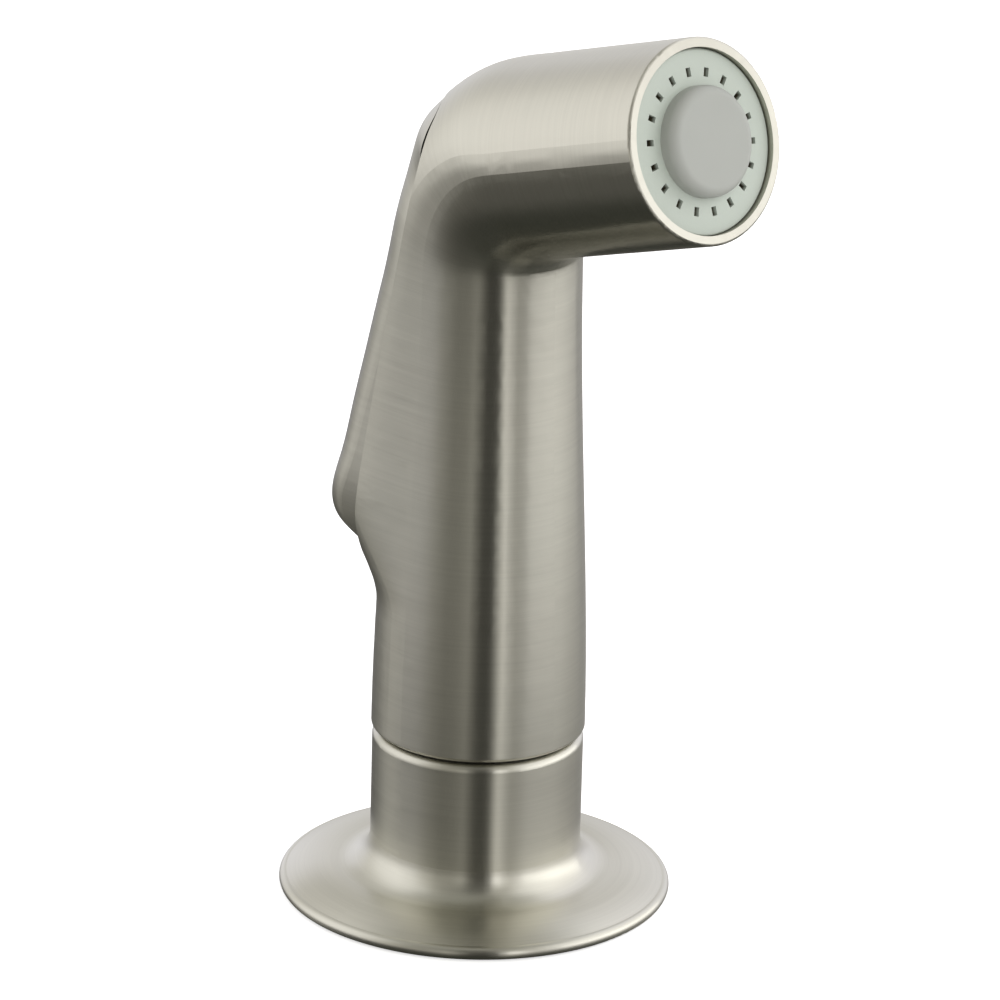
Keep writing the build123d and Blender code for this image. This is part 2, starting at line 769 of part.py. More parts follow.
chamber_front = chamber_gap - sqrt(chamber_inside ** 2 - chamber_radius ** 2)
seat_back = valve_back - gland_length - back_cavity
seat_front = seat_back - seat_thickness
poppet_back = seat_front - seal_thickness - open_gap
poppet_front = poppet_back - poppet_thickness
tube_offset = seat_back + back_cavity / 2 + fit
tube_frame = Plane(origin=(0, tube_offset, 0), x_dir=(1, 0, 0), z_dir=(0, 0, 1))
gland_bore = stem_radius + running + 2 * gland_section
shoe_front = stem_tip + push_gap
pivot_width = pivot_half_width()
pin_reach = pivot_width - shell_wall / 2
pin_boss_radius = pin_radius + 1.3
ear_outside = ear_inside + ear_thickness
boss_end = ear_outside + pin_boss
seam_reach = hypot(bend_radius + seam_high, seam_top - bend_start) - bend_radius
tube_socket = tube_radius + fit
ring_groove = tube_radius + 2 * ring_section + fit
neck_top = valve_height + chamber_radius + neck_height
tube_foot = neck_top - 5.3
lower_ring = neck_top - 2.5
plate_front = -face_recess
plate_back = plate_front - face_thickness
housing_front = plate_back - fit
housing_back = housing_front - housing_length
disc_back = -disc_depth
face_ring = housing_front - 5.3
tube_end = housing_back - 0.7
upper_ring = housing_back - 2.4
screw_seat = plate_front - 1.15
screw_top = screw_seat + screw_head

pieces = {
    "escutcheon": escutcheon(),
    "hose_guide": hose_guide(),
    "deck_gasket": tube(Plane.XY, flange_radius - 1.4, guide_radius + 0.5, 0, gasket_thickness),
    "deck_washer": tube(Plane.XY, washer_radius, guide_radius + 0.5, nut_top, -deck_thickness),
    "mounting_nut": mounting_nut(),
    "seat_ring": tube(Plane.XY, seat_bore - 0.2, socket_mouth + 0.1, ring_foot, plug_seat - turn_gap),
    "wand_shell": wand_shell(),
    "base_plug": base_plug(),
    "inlet_insert": inlet_insert(),
    "inlet_gasket": inlet_gasket(),
    "waterway": waterway(),
    "valve_cap": valve_cap(),
    "valve_bushing": valve_bushing(),
    "gland_oring": gland_oring(),
    "outlet_tube": outlet_tube(),
    "tube_orings": tube_orings(),
    "lever_pins": lever_pins(),
    "spray_housing": spray_housing(),
    "flow_disc": flow_disc(),
    "spray_face": spray_face(),
    "face_button": face_button(),
    "face_oring": face_oring(),
    "face_screw": face_screw(),
    "lever": lever(),
    "lever_shoe": lever_shoe(),
    "valve_stem": valve_stem(),
    "valve_seal": valve_seal(),
    "valve_spring": valve_spring(),
}

os.makedirs("parts", exist_ok=True)
for name, solid in pieces.items():
    export_step(solid, f"parts/{name}.step")
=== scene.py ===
# %% [markdown]
# # A brushed nickel side spray
# This lesson dresses a hand spray for a kitchen sink. Its solids come from the part's own
# CAD model, already at their real size, and this file gives them a camera, a studio and
# finishes. Nothing that the CAD model holds is moved or reshaped here.

# %% Load the solids
import math

import bpy
from mathutils import Matrix, Vector


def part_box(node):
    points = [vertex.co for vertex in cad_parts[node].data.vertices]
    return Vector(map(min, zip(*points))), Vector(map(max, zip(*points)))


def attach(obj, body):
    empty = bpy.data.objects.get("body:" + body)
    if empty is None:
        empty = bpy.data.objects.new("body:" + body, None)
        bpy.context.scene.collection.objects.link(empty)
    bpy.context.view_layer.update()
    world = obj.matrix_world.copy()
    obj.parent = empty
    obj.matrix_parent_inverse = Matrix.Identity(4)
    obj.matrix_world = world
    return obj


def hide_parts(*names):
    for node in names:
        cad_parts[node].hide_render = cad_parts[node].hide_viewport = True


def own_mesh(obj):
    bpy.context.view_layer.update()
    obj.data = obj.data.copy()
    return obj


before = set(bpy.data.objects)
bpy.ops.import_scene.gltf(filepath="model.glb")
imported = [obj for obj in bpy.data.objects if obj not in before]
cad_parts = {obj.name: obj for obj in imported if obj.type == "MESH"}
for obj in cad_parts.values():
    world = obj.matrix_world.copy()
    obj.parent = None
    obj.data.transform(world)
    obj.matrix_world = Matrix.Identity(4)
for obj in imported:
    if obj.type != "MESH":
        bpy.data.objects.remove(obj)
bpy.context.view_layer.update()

# %% [markdown]
# The photograph was taken with a long lens from the front left, a little above the spray.
# The camera was worked out from the round outlines of the foot, the collar and the spray
# face, which only look that oval from one place. A long lens far away keeps the two sides
# of the wand nearly parallel, as they are in the photograph.

# %% Place the camera
CAMERA_AZIMUTH = math.radians(-44.81)
CAMERA_ELEVATION = math.radians(20.265)
CAMERA_ROLL = math.radians(1.535)
CAMERA_DISTANCE = 1.009
CAMERA_TARGET = Vector((0, -0.003249, 0.059826))

to_camera = Vector((
    math.sin(CAMERA_AZIMUTH) * math.cos(CAMERA_ELEVATION),
    -math.cos(CAMERA_AZIMUTH) * math.cos(CAMERA_ELEVATION),
    math.sin(CAMERA_ELEVATION),
))
level_right = Vector((math.cos(CAMERA_AZIMUTH), math.sin(CAMERA_AZIMUTH), 0))
level_up = to_camera.cross(level_right)
camera_right = math.cos(CAMERA_ROLL) * level_right + math.sin(CAMERA_ROLL) * level_up
camera_up = to_camera.cross(camera_right)

camera_data = bpy.data.cameras.new("photo_camera")
camera_data.sensor_width = 36
camera_data.lens = 258.25
camera = bpy.data.objects.new("photo_camera", camera_data)
camera.matrix_world = Matrix.Translation(CAMERA_TARGET + to_camera * CAMERA_DISTANCE) @ Matrix(
    (camera_right, camera_up, to_camera)
).transposed().to_4x4()
bpy.context.collection.objects.link(camera)
bpy.context.scene.camera = camera
print("camera at", [round(v, 3) for v in camera.location])

# %% [markdown]
# The floor stands for the sink deck. It could be cut out round the shank, but a plain sheet
# just under the gasket does the same job: it hides what is under the deck, and it catches
# the soft shadow. It is pale, and it is left out of reflections, because the metal should
# mirror the studio and not a table that the photograph doesn't have.

# %% Lay the floor
FLOOR_REACH = 3.0
FLOOR_DROP = 0.00003

corners = [(-1, -1), (1, -1), (1, 1), (-1, 1)]
floor_data = bpy.data.meshes.new("deck_floor")
floor_data.from_pydata([(FLOOR_REACH * x, FLOOR_REACH * y, 0) for x, y in corners], [], [(0, 1, 2, 3)])
floor = bpy.data.objects.new("deck_floor", floor_data)
floor.location.z = -FLOOR_DROP
floor.visible_glossy = False
bpy.context.collection.objects.link(floor)
print("floor:", 2 * FLOOR_REACH, "m across")


# %% [markdown]
# Every finish below is a small tree of nodes. These helpers keep the cells short. They add a
# node with its settings, do one step of arithmetic, or start a material or a node group.

# %% Helpers for node trees
def add_node(tree, kind, inputs=None, **settings):
    """Adds a node. inputs gives numbers, colours or sockets to link, by input name or number."""
    node = tree.nodes.new(kind)
    for name, value in settings.items():
        setattr(node, name, value)
    for name, value in (inputs or {}).items():
        socket = node.inputs[name]
        if isinstance(value, bpy.types.NodeSocket):
            tree.links.new(value, socket)
        else:
            socket.default_value = value
    return node


def calc(tree, operation, *values):
    """One step of arithmetic on numbers."""
    node = add_node(tree, "ShaderNodeMath", dict(enumerate(values)), operation=operation)
    return node.outputs[0]


def calc_vector(tree, operation, *values):
    """One step of arithmetic on vectors. A dot product gives a number."""
    node = add_node(tree, "ShaderNodeVectorMath", dict(enumerate(values)), operation=operation)
    return node.outputs["Value" if operation in ("DOT_PRODUCT", "LENGTH") else "Vector"]


def combine(tree, **parts):
    """A vector made of X, Y and Z."""
    return add_node(tree, "ShaderNodeCombineXYZ", parts).outputs[0]


def between(tree, mask, low, high):
    """Turns a mask from 0 to 1 into a number from low to high."""
    return add_node(tree, "ShaderNodeMapRange", {0: mask, 3: low, 4: high}).outputs[0]


def start_material(name):
    """A new material with its tree, its Principled shader and no colour yet."""
    material = bpy.data.materials.new(name)
    material.use_nodes = True
    tree = material.node_tree
    return material, tree, tree.nodes["Principled BSDF"]


def start_group(name, inputs, outputs):
    """A new node group. inputs and outputs are lists of (name, kind) or (name, kind, default)."""
    group = bpy.data.node_groups.new(name, "ShaderNodeTree")
    for entry in inputs:
        socket = group.interface.new_socket(entry[0], in_out="INPUT", socket_type="NodeSocket" + entry[1])
        if len(entry) > 2:
            socket.default_value = entry[2]
    for entry in outputs:
        group.interface.new_socket(entry[0], in_out="OUTPUT", socket_type="NodeSocket" + entry[1])
    return group, group.nodes.new("NodeGroupInput"), group.nodes.new("NodeGroupOutput")


def use_group(tree, group, inputs=None):
    """Places a node group in a material's tree."""
    node = tree.nodes.new("ShaderNodeGroup")
    node.node_tree = group
    for name, value in (inputs or {}).items():
        if isinstance(value, bpy.types.NodeSocket):
            tree.links.new(value, node.inputs[name])
        else:
            node.inputs[name].default_value = value
    return node


print("helpers ready, for Blender", bpy.app.version_string)

# %% [markdown]
# A mirror-like finish shows its surroundings, so the studio is most of this picture. The
# photograph's metal shows upright bands: a narrow dark one towards the camera, a bright one
# beside it, and broad pale cards on both sides. The head, which faces downwards as well,
# shows that the cards end a little below the level of the table. Lamps could make all that,
# but a world painted by direction gives each band its exact place. The camera itself sees
# plain white.

# %% Measure directions
world = bpy.data.worlds.new("studio")
bpy.context.scene.world = world
world.use_nodes = True
studio = world.node_tree
direction = add_node(studio, "ShaderNodeTexCoord").outputs["Generated"]
towards = calc_vector(studio, "DOT_PRODUCT", direction, (*(to_camera.xy.normalized()), 0))
sideways = calc_vector(studio, "DOT_PRODUCT", direction, tuple(level_right))
turn = calc(studio, "ARCTAN2", sideways, towards)
around = calc(studio, "ADD", calc(studio, "DIVIDE", turn, 2 * math.pi), 0.5)
height = add_node(studio, "ShaderNodeSeparateXYZ", {0: direction}).outputs["Z"]
print("turn is measured from", [round(v, 3) for v in to_camera.xy.normalized()])

# %% [markdown]
# Each entry of this table is one upright strip of the studio. The first number is its turn
# in degrees from the camera, to the right. The others say how bright the strip is high up,
# a little above the table, and below it.

# %% Paint the studio
BANDS = [
    (-180, 0.52, 0.92, 0.04), (-173, 0.56, 0.95, 0.04), (-164, 0.65, 1.05, 0.04), (-150, 0.70, 0.95, 0.05),
    (-132, 0.85, 0.90, 0.12), (-116, 1.15, 1.15, 0.24), (-103, 1.20, 1.22, 0.20), (-90, 1.20, 1.28, 0.07),
    (-68, 1.00, 1.08, 0.06), (-54, 0.60, 0.70, 0.06), (-38, 0.35, 0.44, 0.06), (-22, 0.30, 0.44, 0.10),
    (-13, 0.25, 0.62, 0.16), (-6, 0.13, 0.28, 0.08), (-1, 0.12, 0.09, 0.04), (12, 0.12, 0.07, 0.03),
    (16, 0.14, 0.20, 0.10), (23, 0.60, 1.90, 0.55), (30, 0.60, 1.25, 0.28), (37, 0.50, 0.80, 0.18),
    (46, 0.80, 1.05, 0.18), (60, 1.20, 1.22, 0.16), (90, 1.40, 1.44, 0.16), (120, 1.25, 1.20, 0.16),
    (150, 1.10, 1.05, 0.20), (166, 0.80, 0.95, 0.28), (180, 0.52, 0.92, 0.04),
]
COOL_FROM, COOL_OVER = 0.5, 0.6
BEHIND_SPRAY = 140


def strip_colour(degrees_round, level):
    """Bright strips are a touch cooler than dark ones, and most so behind the spray."""
    cool = min(1.0, max(0.0, (level - COOL_FROM) / COOL_OVER))
    if abs(degrees_round) < BEHIND_SPRAY:
        cool *= 0.5
    return (level * (1.02 - 0.02 * cool), level, level * (0.92 + 0.18 * cool), 1)


def paint_strips(name, column):
    """A ramp round the studio with one stop for each strip."""
    node = add_node(studio, "ShaderNodeValToRGB", {0: around}, name=name)
    stops = node.color_ramp.elements
    stops[0].position, stops[1].position = 0.0, 1.0
    for strip in BANDS[1:-1]:
        stops.new((strip[0] + 180) / 360)
    for stop, strip in zip(stops, BANDS):
        stop.color = strip_colour(strip[0], strip[column])
    return node.outputs[0]


high_up = paint_strips("high_up", 1)
above = paint_strips("above_table", 2)
below = paint_strips("below_table", 3)
print("studio strips:", len(BANDS))

# %% [markdown]
# The three rows of strips blend into each other, the lower two just below the level of the
# table. Overhead there is one dim card, and straight below it is dark. The last mix gives the
# camera a plain white background, which lights nothing. Reflections don't see that white:
# they see the painted strips, because those give the metal its form.

# %% Mix the studio by height
TABLE_BLEND = (-0.34, -0.02)
HIGH_BLEND = (0.36, 0.50)
OVERHEAD_BLEND = (0.76, 0.96)
BENEATH_BLEND = (-0.80, -0.58)
OVERHEAD = (0.42, 0.42, 0.39, 1)
BENEATH = (0.043, 0.045, 0.038, 1)
WHITE = (1, 1, 1, 1)


def mix_colour(tree, factor, first, second):
    """Blend of two colours."""
    node = tree.nodes.new("ShaderNodeMix")
    node.data_type = "RGBA"
    for socket, value in ((node.inputs[0], factor), (node.inputs[6], first), (node.inputs[7], second)):
        if isinstance(value, bpy.types.NodeSocket):
            tree.links.new(value, socket)
        else:
            socket.default_value = value
    return node.outputs[2]


def rise_between(low, high):
    """Climbs smoothly from 0 to 1 between two heights of the view direction."""
    climb = {0: height, 1: low, 2: high}
    return add_node(studio, "ShaderNodeMapRange", climb, interpolation_type="SMOOTHSTEP").outputs[0]


surround = mix_colour(studio, rise_between(*TABLE_BLEND), below, above)
surround = mix_colour(studio, rise_between(*HIGH_BLEND), surround, high_up)
surround = mix_colour(studio, rise_between(*OVERHEAD_BLEND), surround, OVERHEAD)
surround = mix_colour(studio, rise_between(*BENEATH_BLEND), BENEATH, surround)
camera_sees = add_node(studio, "ShaderNodeLightPath").outputs["Is Camera Ray"]
seen = mix_colour(studio, camera_sees, surround, WHITE)
studio.links.new(seen, studio.nodes["Background"].inputs["Color"])
print("studio tree:", len(studio.nodes), "nodes")

# %% [markdown]
# The painted world is dim where it has dark bands, so two large soft lamps bring plain
# surfaces, such as the plastic face, up to their own colour. They are kept out of
# reflections, so that they don't add bands of their own to the metal.

# %% Add the soft lamps
def soft_lamp(name, place, size, watts):
    """A square lamp that points at the middle of the spray."""
    data = bpy.data.lights.new(name, "AREA")
    data.size, data.energy = size, watts
    lamp = bpy.data.objects.new(name, data)
    lamp.location = place
    lamp.rotation_mode = "QUATERNION"
    lamp.rotation_quaternion = (Vector(place) - CAMERA_TARGET).to_track_quat("Z", "Y")
    lamp.visible_glossy = False
    bpy.context.collection.objects.link(lamp)
    print(name, "gives", watts, "W")


soft_lamp("key_lamp", (-0.9, -1.3, 1.1), size=0.9, watts=9.5)
soft_lamp("fill_lamp", (1.2, -0.7, 0.8), size=0.9, watts=4)

# %% [markdown]
# The right side of the wand grows brighter towards the head. A world is endlessly far away
# and looks the same from top and bottom, so that needs something near: a small glowing card
# beside the wand, which its lower half doesn't mirror. It is seen in reflections only.

# %% Hang the side card
CARD_WIDTH, CARD_HEIGHT, CARD_WATTS = 0.55, 0.13, 0.17
CARD_DISTANCE, CARD_MIDDLE = 0.33, 0.065

card_data = bpy.data.lights.new("side_card", "AREA")
card_data.shape = "RECTANGLE"
card_data.size, card_data.size_y, card_data.energy = CARD_WIDTH, CARD_HEIGHT, CARD_WATTS
card = bpy.data.objects.new("side_card", card_data)
card.location = CARD_DISTANCE * level_right + Vector((0, 0, CARD_MIDDLE))
card.rotation_mode = "QUATERNION"
card.rotation_quaternion = level_right.to_track_quat("Z", "Y")
card.visible_camera = False
card.visible_diffuse = False
bpy.context.collection.objects.link(card)

# %% [markdown]
# The deck floor is a dull white sheet. Plain light alone would leave it light grey, so it
# glows a little, for the camera only. The soft shadow stays, and nothing else is lit by it.

# %% Finish the floor
FLOOR_GLOW = 0.6

material, tree, shader = start_material("deck_white")
shader.inputs["Base Color"].default_value = (0.9, 0.9, 0.9, 1)
shader.inputs["Roughness"].default_value = 0.9
camera_sees = add_node(tree, "ShaderNodeLightPath").outputs["Is Camera Ray"]
shader.inputs["Emission Color"].default_value = WHITE
tree.links.new(calc(tree, "MULTIPLY", camera_sees, FLOOR_GLOW), shader.inputs["Emission Strength"])
floor_data.materials.append(material)
print("floor glows at", FLOOR_GLOW, "for the camera")

# %% [markdown]
# The wand was brushed against a turning wheel, so its fine scratches run round it, square to
# its length, up the grip, round the bend and along the head. To draw them, the finish has to
# know at each point how far along the wand it is and how far round. This group works that
# out from the wand's centre line: straight up, a bend of 18 mm radius through 72.5 degrees,
# and straight out to the face. It needs no texture mapping by hand.

# %% Group: where a point is on the wand
BEND_RADIUS = 0.018
BEND_CENTRE = (0, -BEND_RADIUS, 0.0957)
BEND_ANGLE = math.radians(72.5)

wand_axes, group_in, group_out = start_group(
    "Wand axes", [], [("Along", "Vector"), ("Distance", "Float"), ("Around", "Float")]
)
place = add_node(wand_axes, "ShaderNodeTexCoord").outputs["Object"]
from_centre = calc_vector(wand_axes, "SUBTRACT", place, BEND_CENTRE)
parts = add_node(wand_axes, "ShaderNodeSeparateXYZ", {0: from_centre})
angle = calc(wand_axes, "ARCTAN2", parts.outputs["Z"], parts.outputs["Y"])
angle = calc(wand_axes, "MINIMUM", calc(wand_axes, "MAXIMUM", angle, 0.0), BEND_ANGLE)
sine, cosine = calc(wand_axes, "SINE", angle), calc(wand_axes, "COSINE", angle)
along = combine(wand_axes, Y=calc(wand_axes, "MULTIPLY", sine, -1.0), Z=cosine)
outward = combine(wand_axes, Y=cosine, Z=sine)
beyond = calc_vector(wand_axes, "DOT_PRODUCT", from_centre, along)
distance = calc(wand_axes, "ADD", calc(wand_axes, "MULTIPLY", angle, BEND_RADIUS), beyond)
from_bend = calc_vector(wand_axes, "DOT_PRODUCT", from_centre, outward)
off_axis = calc(wand_axes, "SUBTRACT", from_bend, BEND_RADIUS)
around_axis = calc(wand_axes, "ARCTAN2", parts.outputs["X"], off_axis)
wand_axes.links.new(along, group_out.inputs["Along"])
wand_axes.links.new(distance, group_out.inputs["Distance"])
wand_axes.links.new(around_axis, group_out.inputs["Around"])
print("wand axes group:", len(wand_axes.nodes), "nodes")

# %% [markdown]
# Brushed metal is thousands of hair-fine scratches side by side. Noise that changes fast
# across the scratches and slowly along them looks like that. The group takes the two
# coordinates, whichever way a piece was brushed, and puts out a height for the bump and a
# tone for the colour, with a few longer and deeper streaks among the fine ones.

# %% Group: brushed scratches
STREAK_ACROSS, STREAK_ALONG = 0.22, 0.45

brushed, group_in, group_out = start_group(
    "Brushed scratches",
    [
        ("Across", "Float"), ("Lengthwise", "Float"),
        ("Lines per Metre", "Float", 6000.0), ("Streaks", "Float", 0.5),
    ],
    [("Height", "Float"), ("Tone", "Float")],
)


def scratch_noise(across, lengthwise, detail, roughness):
    """Noise over the two coordinates of a brushed surface."""
    point = combine(brushed, X=across, Y=lengthwise)
    inputs = {"Vector": point, "Scale": 1.0, "Detail": detail, "Roughness": roughness}
    return add_node(brushed, "ShaderNodeTexNoise", inputs, noise_dimensions="2D").outputs[0]


fine_across = calc(brushed, "MULTIPLY", group_in.outputs["Across"], group_in.outputs["Lines per Metre"])
fine = scratch_noise(fine_across, group_in.outputs["Lengthwise"], 3.0, 0.6)
broad_across = calc(brushed, "MULTIPLY", fine_across, STREAK_ACROSS)
broad_along = calc(brushed, "MULTIPLY", group_in.outputs["Lengthwise"], STREAK_ALONG)
broad = scratch_noise(broad_across, broad_along, 2.0, 0.5)
mixed = add_node(brushed, "ShaderNodeMix", {0: group_in.outputs["Streaks"], 2: fine, 3: broad}).outputs[0]
brushed.links.new(mixed, group_out.inputs["Height"])
brushed.links.new(mixed, group_out.inputs["Tone"])
print("brushed scratches group:", len(brushed.nodes), "nodes")

# %% [markdown]
# Nickel plate isn't one flat colour. Lacquer and handling leave very soft warmer and
# greener patches. This group tints a base colour with slow noise and with the tone of the
# scratches.

# %% Group: plate colour
GREENER = (0.985, 1.0, 0.985, 1)
WARMER = (1.01, 0.995, 0.98, 1)

plate_colour, group_in, group_out = start_group(
    "Plate colour",
    [("Base", "Color", (0.6, 0.585, 0.53, 1)), ("Tone", "Float", 0.5), ("Contrast", "Float", 0.25)],
    [("Color", "Color")],
)
place = add_node(plate_colour, "ShaderNodeTexCoord").outputs["Object"]
patch_noise = {"Vector": place, "Scale": 45.0, "Detail": 3.0}
patches = add_node(plate_colour, "ShaderNodeTexNoise", patch_noise).outputs[0]
tone = calc(plate_colour, "SUBTRACT", group_in.outputs["Tone"], 0.5)
swing = calc(plate_colour, "MULTIPLY", tone, group_in.outputs["Contrast"])
bright = calc(plate_colour, "ADD", 1.0, swing)
brights = combine(plate_colour, X=bright, Y=bright, Z=bright)
toned = calc_vector(plate_colour, "MULTIPLY", group_in.outputs["Base"], brights)
tinted = mix_colour(plate_colour, patches, GREENER, WARMER)
plate_colour.links.new(calc_vector(plate_colour, "MULTIPLY", toned, tinted), group_out.inputs["Color"])
print("plate colour group:", len(plate_colour.nodes), "nodes")

# %% [markdown]
# The three nickel pieces share one recipe and differ only in which way they were brushed.
# Brushed metal smears a reflection across its scratches and keeps it sharp along them, which
# is what the Anisotropic setting does. Tangent tells the shader which way to smear.

# %% Brushed nickel recipe
NICKEL = (0.62, 0.605, 0.535, 1)
NICKEL_CONTRAST = 0.2
NICKEL_ROUGHNESS = (0.26, 0.32)
NICKEL_BUMP, NICKEL_BUMP_HEIGHT = 0.08, 0.00005
NICKEL_SMEAR = 0.88


def brushed_nickel(name, tree, shader, across, lengthwise, smear, lines, turn=0.0):
    """Links one brushed nickel finish. smear is the direction in which reflections spread."""
    scratches = use_group(
        tree, brushed, {"Across": across, "Lengthwise": lengthwise, "Lines per Metre": lines}
    )
    tone = scratches.outputs["Tone"]
    colour = use_group(tree, plate_colour, {"Base": NICKEL, "Tone": tone, "Contrast": NICKEL_CONTRAST})
    tree.links.new(colour.outputs["Color"], shader.inputs["Base Color"])
    tree.links.new(between(tree, tone, *NICKEL_ROUGHNESS), shader.inputs["Roughness"])
    raised = {"Height": scratches.outputs["Height"], "Strength": NICKEL_BUMP, "Distance": NICKEL_BUMP_HEIGHT}
    tree.links.new(add_node(tree, "ShaderNodeBump", raised).outputs[0], shader.inputs["Normal"])
    tree.links.new(smear, shader.inputs["Tangent"])
    shader.inputs["Metallic"].default_value = 1.0
    shader.inputs["Anisotropic"].default_value = NICKEL_SMEAR
    shader.inputs["Anisotropic Rotation"].default_value = turn
    print(name, "brushed at", lines, "lines per metre")


def dress(node, material):
    """Gives a CAD piece its finish."""
    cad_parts[node].data.materials[0] = material


# %% [markdown]
# The casing of the wand: scratches round it, so reflections spread along it.

# %% Finish the casing
CASING_LINES = 9000.0

material, tree, shader = start_material("nickel_casing")
axes = use_group(tree, wand_axes)
across_casing = axes.outputs["Distance"]
brushed_nickel(
    "casing", tree, shader, across_casing, axes.outputs["Around"], axes.outputs["Along"], CASING_LINES
)
dress("wand_shell", material)

# %% [markdown]
# The lever was brushed the same way, but it was finished by itself before it was fitted, so
# its scratches are a little coarser and don't line up with those of the casing.

# %% Finish the lever
LEVER_LINES = 7500.0
LEVER_SHIFT = 0.37

material, tree, shader = start_material("nickel_lever")
axes = use_group(tree, wand_axes)
across_lever = calc(tree, "ADD", axes.outputs["Distance"], LEVER_SHIFT)
brushed_nickel(
    "lever", tree, shader, across_lever, axes.outputs["Around"], axes.outputs["Along"], LEVER_LINES
)
dress("lever", material)

# %% [markdown]
# The foot and collar were turned on a lathe. Their scratches are circles round the upright
# axis, on the flat of the foot as well as on the collar. Height less radius grows steadily
# along the whole outline, so it serves as the distance across the scratches. Blender's
# radial tangent runs along the circles, and a quarter turn makes the smear run across them.

# %% Finish the foot and collar
FOOT_LINES = 7000.0
QUARTER_TURN = 0.25

material, tree, shader = start_material("nickel_foot")
place = add_node(tree, "ShaderNodeTexCoord").outputs["Object"]
parts = add_node(tree, "ShaderNodeSeparateXYZ", {0: place})
radius = calc_vector(tree, "LENGTH", calc_vector(tree, "MULTIPLY", place, (1.0, 1.0, 0.0)))
outline = calc(tree, "SUBTRACT", parts.outputs["Z"], radius)
circle = calc(tree, "ARCTAN2", parts.outputs["Y"], parts.outputs["X"])
ring = add_node(tree, "ShaderNodeTangent", direction_type="RADIAL", axis="Z").outputs[0]
brushed_nickel("foot", tree, shader, outline, circle, ring, FOOT_LINES, turn=QUARTER_TURN)
dress("escutcheon", material)

# %% [markdown]
# Moulded plastic shows the fine spark texture of its mould, not brush marks. One group gives
# that grain as a height and as a small change of colour.

# %% Group: moulded grain
PLASTIC_GRAIN = 2600.0
PLASTIC_UNEVENNESS = 0.06

moulded, group_in, group_out = start_group(
    "Moulded grain",
    [
        ("Base", "Color", (0.8, 0.8, 0.8, 1)),
        ("Grain", "Float", PLASTIC_GRAIN), ("Unevenness", "Float", PLASTIC_UNEVENNESS),
    ],
    [("Color", "Color"), ("Height", "Float"), ("Grain Mask", "Float")],
)
place = add_node(moulded, "ShaderNodeTexCoord").outputs["Object"]
grain_noise = {"Vector": place, "Scale": group_in.outputs["Grain"], "Detail": 2.0}
grain = add_node(moulded, "ShaderNodeTexNoise", grain_noise).outputs[0]
cloud = add_node(moulded, "ShaderNodeTexNoise", {"Vector": place, "Scale": 180.0, "Detail": 3.0}).outputs[0]
swing = calc(moulded, "MULTIPLY", calc(moulded, "SUBTRACT", cloud, 0.5), group_in.outputs["Unevenness"])
level = calc(moulded, "ADD", 1.0, swing)
levels = combine(moulded, X=level, Y=level, Z=level)
clouded = calc_vector(moulded, "MULTIPLY", group_in.outputs["Base"], levels)
moulded.links.new(clouded, group_out.inputs["Color"])
moulded.links.new(grain, group_out.inputs["Height"])
moulded.links.new(grain, group_out.inputs["Grain Mask"])
print("moulded grain group:", len(moulded.nodes), "nodes")

# %% [markdown]
# Plastic and rubber differ only in colour, gloss and how coarse their grain is, so one recipe
# makes both. The grain also varies the gloss a little, so that no surface is quite even.

# %% Plastic and rubber recipe
GLOSS_BELOW, GLOSS_ABOVE = 0.05, 0.07
GRAIN_HEIGHT = 0.0001


def moulded_finish(name, colour, roughness, grain=PLASTIC_GRAIN, bump=0.08, unevenness=PLASTIC_UNEVENNESS):
    """A moulded finish with its own colour, gloss and grain."""
    material, tree, shader = start_material(name)
    grainy = use_group(tree, moulded, {"Base": (*colour, 1), "Grain": grain, "Unevenness": unevenness})
    tree.links.new(grainy.outputs["Color"], shader.inputs["Base Color"])
    gloss = between(tree, grainy.outputs["Grain Mask"], roughness - GLOSS_BELOW, roughness + GLOSS_ABOVE)
    tree.links.new(gloss, shader.inputs["Roughness"])
    raised = {"Height": grainy.outputs["Height"], "Strength": bump, "Distance": GRAIN_HEIGHT}
    tree.links.new(add_node(tree, "ShaderNodeBump", raised).outputs[0], shader.inputs["Normal"])
    print(name, "roughness about", roughness)
    return material


# %% [markdown]
# The spray face is a cool grey-green plastic, and its button a slightly warmer grey. The
# other plastics are hidden when the spray stands in its holder: black for the liner, the nut
# and the cup behind the face, and white waterways. The black of the cup and the flow disc
# behind the face also stands in for the shade deep in the face's slots, as painted shade.

# %% Finish the plastics
FACE_GREEN = (0.47, 0.515, 0.455)
BUTTON_GREY = (0.37, 0.38, 0.35)
BLACK = (0.022, 0.022, 0.024)
WATERWAY_WHITE = (0.78, 0.77, 0.72)

face_plastic = moulded_finish("face_plastic", FACE_GREEN, 0.5)
dress("spray_face", face_plastic)
dress("face_button", moulded_finish("button_plastic", BUTTON_GREY, 0.5))
# The spray housing and flow disc are black partly as painted shade for the face's slots.
for node in ("hose_guide", "mounting_nut", "base_plug", "spray_housing", "flow_disc"):
    dress(node, moulded_finish(node + "_black", BLACK, 0.42))
for node in ("waterway", "outlet_tube", "valve_cap", "lever_shoe", "seat_ring"):
    dress(node, moulded_finish(node + "_white", WATERWAY_WHITE, 0.4))

# %% [markdown]
# The slots of the face look brown-black, because they are deep and narrow and their walls lie in shade.
# That shade is painted into the colour: how far a point lies behind the front of the face tells the finish
# where to darken.

# %% Paint shade into the slots
FACE_FRONT = 0.0513
FULL_SHADE_DEPTH, UNSHADED_DEPTH = FACE_FRONT - 0.0008, FACE_FRONT - 0.0003
SLOT_SHADE_COLOUR = (0.10, 0.085, 0.05, 1)

tree = face_plastic.node_tree
shader = tree.nodes["Principled BSDF"]
unshaded_colour = shader.inputs["Base Color"].links[0].from_socket
front_distance = use_group(tree, wand_axes).outputs["Distance"]
fade = {0: front_distance, 1: FULL_SHADE_DEPTH, 2: UNSHADED_DEPTH, 3: 1.0, 4: 0.0}
